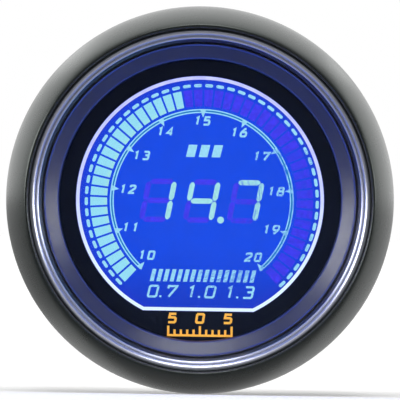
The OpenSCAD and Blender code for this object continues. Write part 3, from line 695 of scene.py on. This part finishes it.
class Lettering:
    """How numbers are drawn: their size, pitch, stroke and lean, and the two heights they stand between."""

    def __init__(self, size, pitch, stroke, lean, heights):
        self.width, self.height = size
        self.pitch = pitch
        self.stroke = stroke
        self.lean = lean
        self.front, self.back = heights

    def write(self, mesh, text, middle):
        """Adds the strokes of a number, centred on a point of the dial."""
        shares = [POINT_SHARE if letter == "." else 1.0 for letter in text]
        at = -sum(shares) * self.pitch / 2
        for letter, share in zip(text, shares):
            x_middle = middle[0] + (at + share * self.pitch / 2)
            at += share * self.pitch
            for kind, points in STROKES[letter]:
                placed = []
                for x, y in points:
                    up = (y - 0.5) * self.height
                    across = x_middle + (x - 0.5) * self.width + up * math.tan(self.lean)
                    placed.append((across, middle[1] + up))
                strip(mesh, placed, self.stroke, kind == "loop", self.front, self.back)


# Pieces of the gauge


class BuildBezel(bpy.types.Operator):
    """Rolled bezel with its satin paint"""

    bl_idname = "gauge.bezel"
    bl_label = "Bezel"

    def execute(self, context):
        s = context.scene.gauge_bezel
        side, roll, rim, lip = 2.4 * MM, 0.7 * MM, 0.5 * MM, 0.4 * MM
        crest_r = s.opening + lip
        neck, neck_foot = 25.95 * MM, 0.425 * MM
        chamber, chamber_floor, chamber_roof = 27.05 * MM, 1.7 * MM, 7.5 * MM
        outline = (
            [(neck, neck_foot), (s.seat, 0)]
            + arc((s.radius - rim, rim), (rim, rim), -90, 0, steps=8)
            + arc((crest_r, side), (s.radius - crest_r, s.crest - side), 0, 90, steps=48, power=1.3)
            + arc((crest_r, s.crest - roll), (crest_r - s.opening, roll), 92, 180, steps=28, power=4.0)
            + [(s.opening, chamber_roof), (chamber, chamber_roof)]
            + [(chamber, chamber_floor), (neck, chamber_floor)]
        )
        paint = satin_paint(tuple(s.paint), s.roughness)
        piece("bezel_shell", turned(outline, 320), BODY, paint, ["bezel_ring"], sharp=50)
        return {"FINISHED"}


class BuildTrim(bpy.types.Operator):
    """Polished ring with its two beads, and the visor behind it"""

    bl_idname = "gauge.trim"
    bl_label = "Trim ring and visor"

    def execute(self, context):
        s = context.scene.gauge_trim
        glass = depth_of("lens")
        outer, flange, flange_face = 26.5 * MM, 26.95 * MM, glass + 0.6 * MM
        valley, groove, flank = s.inner + 0.933 * MM, 0.0615 * MM, s.inner + 0.43 * MM
        inner_half, inner_rise = (valley - groove - flank) / 2, 0.3 * MM
        outer_half, outer_rise = (outer - valley - groove) / 2, 0.7 * MM
        base, flat_edge = glass + 0.5 * MM, glass + 0.2 * MM
        outer_base, groove_floor = base + 0.2 * MM, base + 0.02 * MM
        groove_half = groove * 0.6
        outline = (
            [(s.inner, glass), (flange, glass), (flange, flange_face), (outer, flange_face)]
            + arc((outer - outer_half, outer_base), (outer_half, outer_rise), 0, 180, steps=32)
            + [(valley + groove_half, groove_floor), (valley - groove_half, groove_floor)]
            + arc((flank + inner_half, base), (inner_half, inner_rise), 0, 165, steps=32, power=1.6)
            + [(s.inner, flat_edge)]
        )
        mesh = turned(outline, 320)
        # The ring's blue cast is partly painted reflection of the display's blue light
        metal = polished_metal(tuple(s.metal))
        beads = piece("trim_beads", mesh, BODY, metal, ["trim_ring"], sharp=60)
        # The flat inside the inner bead takes the visor's dark satin plastic in place of the polished metal:
        # painted shade for the shadowed gap between the ring and the visor
        beads.data.materials.append(satin_visor("flank_painted_shade", tuple(s.visor)))
        for face in beads.data.polygons:
            if math.hypot(face.center.x, face.center.z) < flank:
                face.material_index = 1
        self.visor(s)
        return {"FINISHED"}

    def visor(self, s):
        """Funnel that falls from a steep mouth over a straight cone to a rounded step on the mask."""
        top, foot = depth_of("visor"), depth_of("visor", False)
        outer = radius_of("visor")
        mouth, inner, edge = outer - 0.15 * MM, outer - 2.55 * MM, 0.25 * MM
        cone_degrees, step = 34, 0.9 * MM
        slope = math.tan(math.radians(cone_degrees))
        step_width_share, step_drop_share = 0.44, 0.83
        shoulder_r, shoulder = mouth - 0.3 * MM, top - 0.38 * MM
        run = shoulder_r - (inner + step_width_share * step)
        fall_shares = (0, 0.03, 0.1, 0.5, 0.9, 0.97)
        step_middle = (inner + step, shoulder - run * slope - step_drop_share * step)
        outline = (
            [(inner, foot), (outer, foot), (outer, top)]
            + arc((mouth, top - edge), (edge * 0.6, edge), 90, 180, steps=8)
            + [(shoulder_r - a * run, shoulder - a * run * slope) for a in fall_shares]
            + arc(step_middle, (step, step), 90 + cone_degrees, 180, steps=14)
        )
        plastic = satin_visor("satin_visor", tuple(s.visor))
        piece("visor_funnel", turned(outline, 240), BODY, plastic, ["visor"], sharp=50)


class FinishGlass(bpy.types.Operator):
    """Lens, films and plates of the display"""

    bl_idname = "gauge.glass"
    bl_label = "Lens and glass"

    def execute(self, context):
        dress(clear("lens_polish", (0.985, 0.99, 1.0), 1.3), "lens")
        dress(sheer("plate_polish", (0.1, 0.12, 0.15), 0.02), "front_glass", "rear_glass")
        dress(sheer("film_polish", (0.02, 0.02, 0.03), 0.03), "front_polariser", "rear_polariser")
        # These clear layers cast no shadow on what lies under them
        for node in ("lens", "front_glass", "front_polariser"):
            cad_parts[node].visible_shadow = False
        return {"FINISHED"}


class FinishDial(bpy.types.Operator):
    """Backlit blue field, its segments, the border strip and the black mask"""

    bl_idname = "gauge.dial"
    bl_label = "Dial"

    def execute(self, context):
        c = context.scene.gauge_dial
        marks = lit_film("lit_marks", c.marks)
        dress(blue_field(c), "crystal_layer")
        dress(marks, "scale_dashes", "scale_lines")
        dress(lit_bar(c), "lit_bars")
        dress(lit_film("lit_segments", linear(170, 234, 240)), "lit_digits")
        dress(lit_film("unlit_segments", c.unlit, fade=0.18), "unlit_bars", "unlit_digits")
        dress(edge_strip(c), "window_border")
        dress(matte_black(), "dial_mask")
        self.band(c)
        return {"FINISHED"}

    def band(self, c):
        """The dark teal band that shows between the scale's two lines."""
        front, back = depth_of("scale_lines"), depth_of("scale_lines", False)
        sweep, steps = math.radians(276), 180
        ring, width, sunk = 13.945 * MM, 0.25 * MM, 0.02 * MM
        points = []
        for i in range(steps + 1):
            a = sweep * (i / steps - 0.5)
            points.append(ARTWORK_MIDDLE + ring * Vector((math.sin(a), math.cos(a))))
        mesh = bmesh.new()
        strip(mesh, points, width, False, front - sunk, back)
        piece("scale_band", closed_up(mesh), BODY, lit_film("teal_band", c.teal))


class WriteNumbers(bpy.types.Operator):
    """Numbers of the scale, plain marks over and under the readout, and the printed rule"""

    bl_idname = "gauge.numbers"
    bl_label = "Numbers"

    def execute(self, context):
        s, c = context.scene.gauge_numerals, context.scene.gauge_dial
        heights = (depth_of("scale_lines"), depth_of("scale_lines", False))
        ink = lit_film("lit_numbers", c.marks)
        numbers = Lettering((s.width, s.height), s.pitch, s.stroke, s.lean, heights)
        mesh = bmesh.new()
        for text, (across, up) in NUMBER_PLACES.items():
            numbers.write(mesh, text, (across * MM, up * MM))
        piece("scale_numbers", closed_up(mesh), BODY, ink)
        self.lower_marks(ink, heights)
        self.amber_rule(c)
        return {"FINISHED"}

    def lower_marks(self, ink, heights):
        """Plain numbers under the readout, and a row of slanted blocks over it and one under it."""
        numbers = Lettering((1.3 * MM, 1.66 * MM), 1.86 * MM, 0.33 * MM, LEAN, heights)
        number_line = -14.2 * MM
        mesh = bmesh.new()
        for text, across in (("0.7", -5.6), ("1.0", 0.38), ("1.3", 6.3)):
            numbers.write(mesh, text, (across * MM, number_line))
        self.blocks(mesh, (0.58, 7.61), 3, 1.98, 1.35, heights)
        self.blocks(mesh, (0.65, -11.7), 16, 1.03, 0.62, heights)
        piece("lower_marks", closed_up(mesh), BODY, ink)

    def blocks(self, mesh, middle, count, pitch, width, heights):
        """Row of slanted blocks, centred on a point of the dial, in millimetres."""
        side, top = width / 2, 1.9 / 2
        slant = top * math.tan(LEAN)
        corners = [(-side - slant, -top), (side - slant, -top), (side + slant, top), (-side + slant, top)]
        for i in range(count):
            x = middle[0] + (i - (count - 1) / 2) * pitch
            slab(mesh, [((x + a) * MM, (middle[1] + b) * MM) for a, b in corners], *heights)

    def amber_rule(self, c):
        """Short printed rule on the mask, with plain numbers above it."""
        face = depth_of("dial_mask")
        heights = (face + 0.02 * MM, face)
        numbers = Lettering((1.05 * MM, 1.3 * MM), 1.5 * MM, 0.36 * MM, math.radians(8), heights)
        number_line, tick_foot, rule_line = -18.3 * MM, -20.85 * MM, -20.95 * MM
        stroke = 0.34 * MM
        mesh = bmesh.new()
        for text, across in (("5", -4.0), ("0", 0.3), ("5", 4.6)):
            numbers.write(mesh, text, (across * MM, number_line))
        for i in range(11):
            x = (-4.6 + 0.98 * i) * MM
            tall = (1.35 if i % 5 == 0 else 0.8) * MM
            strip(mesh, [(x, tick_foot), (x, tick_foot + tall)], stroke, False, *heights)
        strip(mesh, [(-4.77 * MM, rule_line), (5.37 * MM, rule_line)], stroke, False, *heights)
        # The amber print glows with painted light of its own colour
        piece("printed_rule", closed_up(mesh), BODY, print_with_painted_glow("amber_ink_painted_glow", c.amber))


def softened(node, name, body, finish, width):
    """Copy of a CAD node whose hard edges are rounded, which stands for the node."""
    weld, flat, hard = 1e-7, math.radians(0.3), math.radians(45)
    mesh = bmesh.new()
    mesh.from_mesh(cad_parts[node].data)
    bmesh.ops.remove_doubles(mesh, verts=mesh.verts, dist=weld)
    bmesh.ops.dissolve_limit(mesh, angle_limit=flat, verts=mesh.verts, edges=mesh.edges)
    made = piece(name, mesh, body, finish, [node], sharp=40)
    bevel = made.modifiers.new("soft edges", "BEVEL")
    bevel.width = width
    bevel.segments = 2
    bevel.limit_method = "ANGLE"
    bevel.angle_limit = hard
    bevel.harden_normals = True


class BuildCase(bpy.types.Operator):
    """Cup case and rear socket"""

    bl_idname = "gauge.case"
    bl_label = "Case and socket"

    def execute(self, context):
        edge = context.scene.gauge_rear.soft_edge
        black = moulded("moulded_black", (0.019, 0.019, 0.021), 0.42, 0.22 * MM, 0.012 * MM)
        nylon = moulded("natural_nylon", (0.72, 0.7, 0.6), 0.38, 0.4 * MM, 0.006 * MM)
        softened("rear_case", "case_cup", BODY, black, edge)
        softened("socket_shell", "socket_body", BODY, nylon, edge * 0.6)
        dress(plated("tinned", (0.76, 0.75, 0.7), 0.25), "socket_contacts", "glass_contacts")
        return {"FINISHED"}


class BuildStuds(bpy.types.Operator):
    """Mounting studs with their thread"""

    bl_idname = "gauge.studs"
    bl_label = "Studs"

    def execute(self, context):
        s = context.scene.gauge_rear
        zinc = plated("zinc_plate", (0.66, 0.67, 0.69), 0.26, tinge=(0.94, 0.9, 0.78))
        low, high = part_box("mounting_studs")
        mesh = bmesh.new()
        for side in (-1, 1):
            self.stud(mesh, side * STUD_X, low.y, high.y, s)
        piece("threaded_studs", closed_up(mesh), BODY, zinc, ["mounting_studs"], sharp=50)
        return {"FINISHED"}

    def stud(self, mesh, x, head, end, s):
        """Hexagon head, plain shank and threaded length, from the head's front to the stud's tip."""
        around, radius, point = 36, 2 * MM, 0.5 * MM
        reach, head_height, plain = 4.35 * MM, 2.8 * MM, 2 * MM
        start = head + head_height
        rings = [[self.corner(x, k, around, reach, y) for k in range(around)] for y in (head, start)]
        levels_per_turn = 8
        count = int((end - start) / (s.thread / levels_per_turn))
        for i in range(count + 1):
            y = start + (end - start) * i / count
            tip = max(0.0, y - (end - point))
            ring = []
            for k in range(around):
                a = TAU * k / around
                cut = self.groove((y - start) / s.thread + k / around) * s.thread_depth
                r = min(radius - (cut if y > start + plain else 0), radius - tip)
                ring.append(Vector((x + r * math.cos(a), y, r * math.sin(a))))
            rings.append(ring)
        rows = [[mesh.verts.new(p) for p in ring] for ring in rings]
        for here, there in zip(rows, rows[1:]):
            for k in range(around):
                j = (k + 1) % around
                mesh.faces.new((here[k], here[j], there[j], there[k]))
        mesh.faces.new(rows[0])
        mesh.faces.new(rows[-1])

    def groove(self, turns):
        """Share of the thread's depth after so many turns: none on the crest, all of it in the groove."""
        from_crest = abs(2 * (turns % 1.0) - 1)
        return min(1.0, max(0.0, 2.3 * from_crest - 0.7) / 1.3)

    def corner(self, x, k, around, reach, y):
        """Point k of a hexagon of that reach, drawn with as many points as the shank has."""
        a = TAU * k / around
        flat = reach * math.cos(math.pi / 6)
        r = flat / math.cos((a + math.pi / 6) % (math.pi / 3) - math.pi / 6)
        return Vector((x + r * math.cos(a), y, r * math.sin(a)))


class BuildClamp(bpy.types.Operator):
    """Clamp bracket, washers and thumb nuts"""

    bl_idname = "gauge.clamp"
    bl_label = "Clamp and nuts"

    def execute(self, context):
        s = context.scene.gauge_rear
        strip_metal = plated(
            "bracket_strip", (0.62, 0.63, 0.65), 0.3, (0.12, 1, 1), 0.14 * MM, (0.93, 0.9, 0.8)
        )
        washer_metal = plated("washer_zinc", (0.7, 0.71, 0.73), 0.24, tinge=(0.95, 0.92, 0.82))
        brass = plated("turned_brass", (0.78, 0.6, 0.3), 0.24, (1, 0.1, 1), 0.1 * MM, (0.8, 0.66, 0.5))
        softened("clamp_bracket", "clamp_strip", "clamp", strip_metal, s.soft_edge)
        softened("clamp_washers", "plain_washers", "clamp", washer_metal, s.soft_edge * 0.6)
        for side, x in (("left", -STUD_X), ("right", STUD_X)):
            mesh = self.nut(x, *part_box(f"{side}_thumb_nut"))
            piece(
                f"{side}_ridged_nut", mesh, f"{side}_nut", brass, [f"{side}_thumb_nut"], sharp=35
            )
        return {"FINISHED"}

    def nut(self, x, low, high):
        """Ridged grip behind a plain collar, with a countersunk bore and a recess round it at the back."""
        around, ridges, ridge_power = 240, 24, 0.7
        grip = (high.x - low.x) / 2
        collar, bore, depth = 3.74 * MM, 2.05 * MM, 0.34 * MM
        front, back = low.y, high.y
        split, chamfer = front + 2.1 * MM, 0.5 * MM
        sink, edge, soft, lip = 0.3 * MM, 0.15 * MM, 0.12 * MM, 0.1 * MM
        rise, fall, tuck = 0.4 * MM, 0.38 * MM, 0.04 * MM
        recess, recess_floor = 3.0 * MM, back - 0.25 * MM
        bore_rim, bore_back = bore + 0.35 * MM, back - 0.6 * MM
        # Radius, place along the axis, and the share of the ridges' depth there
        levels = [
            (bore, front + sink, 0), (bore + sink, front, 0),
            (collar - edge, front, 0), (collar, front + edge, 0),
            (collar, split - soft, 0), (collar + soft, split, 0),
            (grip - chamfer, split, 0.2), (grip - soft, split + rise, 0.9), (grip, split + chamfer, 1),
            (grip, back - chamfer, 1), (grip - soft, back - fall, 0.9), (grip - chamfer, back - tuck, 0.2),
            (grip - chamfer - lip, back, 0), (recess + lip, back, 0),
            (recess, recess_floor, 0), (bore_rim, recess_floor, 0), (bore, bore_back, 0),
        ]
        mesh = bmesh.new()
        rows = []
        for r, y, share in levels:
            row = []
            for k in range(around):
                a = TAU * k / around
                dip = 0.5 - 0.5 * math.cos(ridges * a)
                here = r - share * depth * dip ** ridge_power
                row.append(mesh.verts.new((x + here * math.sin(a), y, here * math.cos(a))))
            rows.append(row)
        for i, here in enumerate(rows):
            there = rows[(i + 1) % len(rows)]
            for k in range(around):
                j = (k + 1) % around
                mesh.faces.new((here[k], here[j], there[j], there[k]))
        return closed_up(mesh)


class FinishInside(bpy.types.Operator):
    """Pieces inside the case: display frame, backlight, boards and their parts"""

    bl_idname = "gauge.inside"
    bl_label = "Inner pieces"

    def execute(self, context):
        dress(moulded("seal_rubber", (0.02, 0.02, 0.02), 0.7, 0.1 * MM), "lens_seal")
        dress(moulded("diffuser_frost", (0.86, 0.88, 0.92), 0.6, 0.08 * MM), "diffuser_sheet")
        dress(clear("guide_acrylic", (0.9, 0.96, 1.0), 1.49), "light_guide")
        dress(moulded("reflector_film", (0.9, 0.9, 0.9), 0.3, 0.5 * MM), "reflector_sheet")
        dress(moulded("frame_white", (0.78, 0.78, 0.74), 0.5), "display_frame")
        dress(moulded("lamp_phosphor", (0.86, 0.74, 0.3), 0.35, 0.1 * MM), "backlight_lamps")
        dress(solder_mask(), "display_board", "main_board")
        epoxy = moulded("chip_epoxy", (0.02, 0.02, 0.022), 0.5, 0.12 * MM)
        dress(epoxy, "display_driver", "controller_chip", "voltage_regulator")
        dress(moulded("header_black", (0.015, 0.015, 0.016), 0.45), "header_socket")
        dress(plated("gold_flash", (0.85, 0.65, 0.28), 0.22), "header_pins")
        dress(plated("drawn_can", (0.78, 0.79, 0.8), 0.24), "capacitors", "timing_crystal")
        dress(moulded("resistor_glaze", (0.05, 0.05, 0.055), 0.3), "chip_resistors")
        dress(plated("screw_zinc", (0.66, 0.67, 0.69), 0.28), "frame_screws", "board_screws")
        return {"FINISHED"}


# Studio


class SetStage(bpy.types.Operator):
    """Pale floor, soft lamps, pale room and the camera"""

    bl_idname = "gauge.stage"
    bl_label = "Stage"

    def execute(self, context):
        s = context.scene.gauge_studio
        self.floor()
        self.lamp("left_light", s.left, (-0.92, -0.35, 0.24), 34)
        self.lamp("right_light", s.right, (0.94, -0.35, 0.02), 34)
        self.lamp("top_light", s.top, (0.0, -0.35, 0.94), 34)
        stronger = s.back * 1.15
        self.lamp("back_light", stronger, (0.0, 0.65, 0.76), 72)
        self.lamp("back_left_light", s.back, (-0.8, 0.6, 0.1), 75)
        self.lamp("back_right_light", stronger, (0.8, 0.6, 0.05), 70)
        self.dial_light(s.glow)
        self.room(context, s.sky)
        self.camera(context, s.distance)
        context.scene.view_settings.view_transform = "Standard"
        return {"FINISHED"}

    def floor(self):
        """Pale floor, which mirrors show darker before the gauge and on its left, and black far before it."""
        f = Finish("pale_floor")
        seen = f.node("ShaderNodeLightPath", None, None, "Is Camera Ray")
        lit, mirrored = f.depth("Diffuse Depth"), f.depth("Glossy Depth")
        gloss = mirrored * (1 - lit)
        pale = f.mix(f.noise(60 * MM, 2), (0.78, 0.78, 0.78), (0.82, 0.82, 0.82))
        ground = f.node("ShaderNodeBsdfDiffuse", None, {"Color": pale})
        left_side = f.ramp(f.axis("X"), -20 * MM, -50 * MM, 1.0, 0.55)
        far_before = f.ramp(f.axis("Y"), -150 * MM, -350 * MM, 1.0, 0.02)
        in_mirrors = f.ramp(f.axis("Y"), -6 * MM, 1.5 * MM, 0.34, 0.9) * left_side * far_before
        strength = seen * 0.32 + gloss * in_mirrors
        lift = f.node("ShaderNodeEmission", None, {"Color": (1, 1, 1), "Strength": strength})
        plain = f.node("ShaderNodeAddShader", None, {0: ground, 1: lift})
        mirror = f.node("ShaderNodeMixShader", None, {0: gloss, 1: plain, 2: lift})
        f.node("ShaderNodeOutputMaterial", None, {"Surface": mirror})
        mesh = bmesh.new()
        gap, reach = 0.02 * MM, 8.0
        level = CAD_BOX[0].z - gap
        corners = ((-reach, -reach), (reach, -reach), (reach, reach), (-reach, reach))
        mesh.faces.new([mesh.verts.new((x, y, level)) for x, y in corners])
        data = bpy.data.meshes.new("floor")
        mesh.to_mesh(data)
        mesh.free()
        data.materials.append(f.material)
        made = bpy.data.objects.new("floor", data)
        bpy.context.scene.collection.objects.link(made)

    def lamp(self, name, light, side, spread):
        """Soft lamp far away on one side, as wide as a softbox looks from the gauge."""
        data = bpy.data.lights.new(name, "SUN")
        data.energy = light
        data.angle = math.radians(spread)
        made = bpy.data.objects.new(name, data)
        made.location = Vector(side)
        made.rotation_mode = "QUATERNION"
        made.rotation_quaternion = (-Vector(side)).to_track_quat("-Z", "Y")
        bpy.context.scene.collection.objects.link(made)

    def dial_light(self, power):
        """Blue light before the dial on the visor and the ring, as the lit dial alone gives too little."""
        data = bpy.data.lights.new("dial_light", "AREA")
        data.shape = "DISK"
        data.size = 36 * MM
        data.energy = power
        data.color = (0.04, 0.12, 1.0)
        made = bpy.data.objects.new("dial_light", data)
        made.location = (0, -2.05 * MM, 0)
        made.rotation_mode = "QUATERNION"
        made.rotation_quaternion = Vector((0, -1, 0)).to_track_quat("-Z", "Y")
        made.visible_camera = False
        made.visible_transmission = False
        bpy.context.scene.collection.objects.link(made)

    def room(self, context, sky):
        """Room that is white to the camera, faint to what a dull surface sends on, and mapped for mirrors.

        In mirrors it is white at the sides behind the gauge, darker before it but for a paler part high up,
        and nearly black on the gauge's own axis.
        """
        world = bpy.data.worlds.new("pale_room")
        world.use_nodes = True
        context.scene.world = world
        n = Net(world.node_tree)
        # How far a direction points before the gauge, and how far up
        way = n.node("ShaderNodeTexCoord", out="Generated")
        front = n.node("ShaderNodeVectorMath", {"operation": "DOT_PRODUCT"}, {0: way, 1: (0, -1, 0)}, "Value")
        up = n.node("ShaderNodeSeparateXYZ", None, {0: way}, "Z")
        sides = n.ramp(front, -0.15, 0.2, 1.0, 0.18) + n.ramp(front, 0.5, 0.8, 0.0, 0.2)
        high = n.ramp(up, 0.2, 0.7, 0.0, 0.25) * n.ramp(front, 0.2, 0.5)
        gloss = (sides + high) * n.ramp(up, -0.35, 0.0, 0.3, 1.0) * n.ramp(front, 0.96, 0.995, 1.0, 0.02)
        lit = n.depth("Diffuse Depth")
        mirrored = n.depth("Glossy Depth")
        strength = lit * sky + (1 - lit) * (mirrored * gloss + (1 - mirrored))
        light = n.node("ShaderNodeBackground", None, {"Color": (1, 1, 1), "Strength": strength})
        n.node("ShaderNodeOutputWorld", None, {"Surface": light})

    def camera(self, context, distance):
        """Straight in front, turned by the photograph's slight roll."""
        data = bpy.data.cameras.new("camera")
        sensor, silhouette, view_width = 36, 2.4 * MM, 61.885 * MM
        data.sensor_width = sensor
        data.lens = sensor * (distance - silhouette) / view_width
        data.clip_start, data.clip_end = 0.05, 40
        made = bpy.data.objects.new("camera", data)
        place = Matrix.Translation((0, -distance, 0.02 * MM))
        upright = Matrix.Rotation(math.pi / 2, 4, "X")
        roll = Matrix.Rotation(math.radians(0.9), 4, "Z")
        made.matrix_world = place @ upright @ roll
        context.scene.collection.objects.link(made)
        context.scene.camera = made


STEPS = (
    BuildBezel, BuildTrim, FinishGlass, FinishDial, WriteNumbers,
    BuildCase, BuildStuds, BuildClamp, FinishInside, SetStage,
)


class GaugePanel(bpy.types.Panel):
    """Lists the gauge's pieces and their settings"""

    bl_idname = "GAUGE_PT_pieces"
    bl_label = "Panel gauge"
    bl_space_type = "VIEW_3D"
    bl_region_type = "UI"
    bl_category = "Gauge"

    def draw(self, context):
        for step in STEPS:
            self.layout.operator(step.bl_idname)
        for name in SETTINGS:
            group = getattr(context.scene, name)
            box = self.layout.box()
            for key in group.__annotations__:
                box.prop(group, key)


def register():
    for name, group in SETTINGS.items():
        bpy.utils.register_class(group)
        setattr(bpy.types.Scene, name, bpy.props.PointerProperty(type=group))
    for step in STEPS:
        bpy.utils.register_class(step)
    bpy.utils.register_class(GaugePanel)


def unregister():
    bpy.utils.unregister_class(GaugePanel)
    for step in reversed(STEPS):
        bpy.utils.unregister_class(step)
    for name, group in SETTINGS.items():
        delattr(bpy.types.Scene, name)
        bpy.utils.unregister_class(group)


def main():
    register()
    for step in STEPS:
        group, name = step.bl_idname.split(".")
        getattr(getattr(bpy.ops, group), name)()
    bpy.context.view_layer.update()


if __name__ == "__main__":
    main()
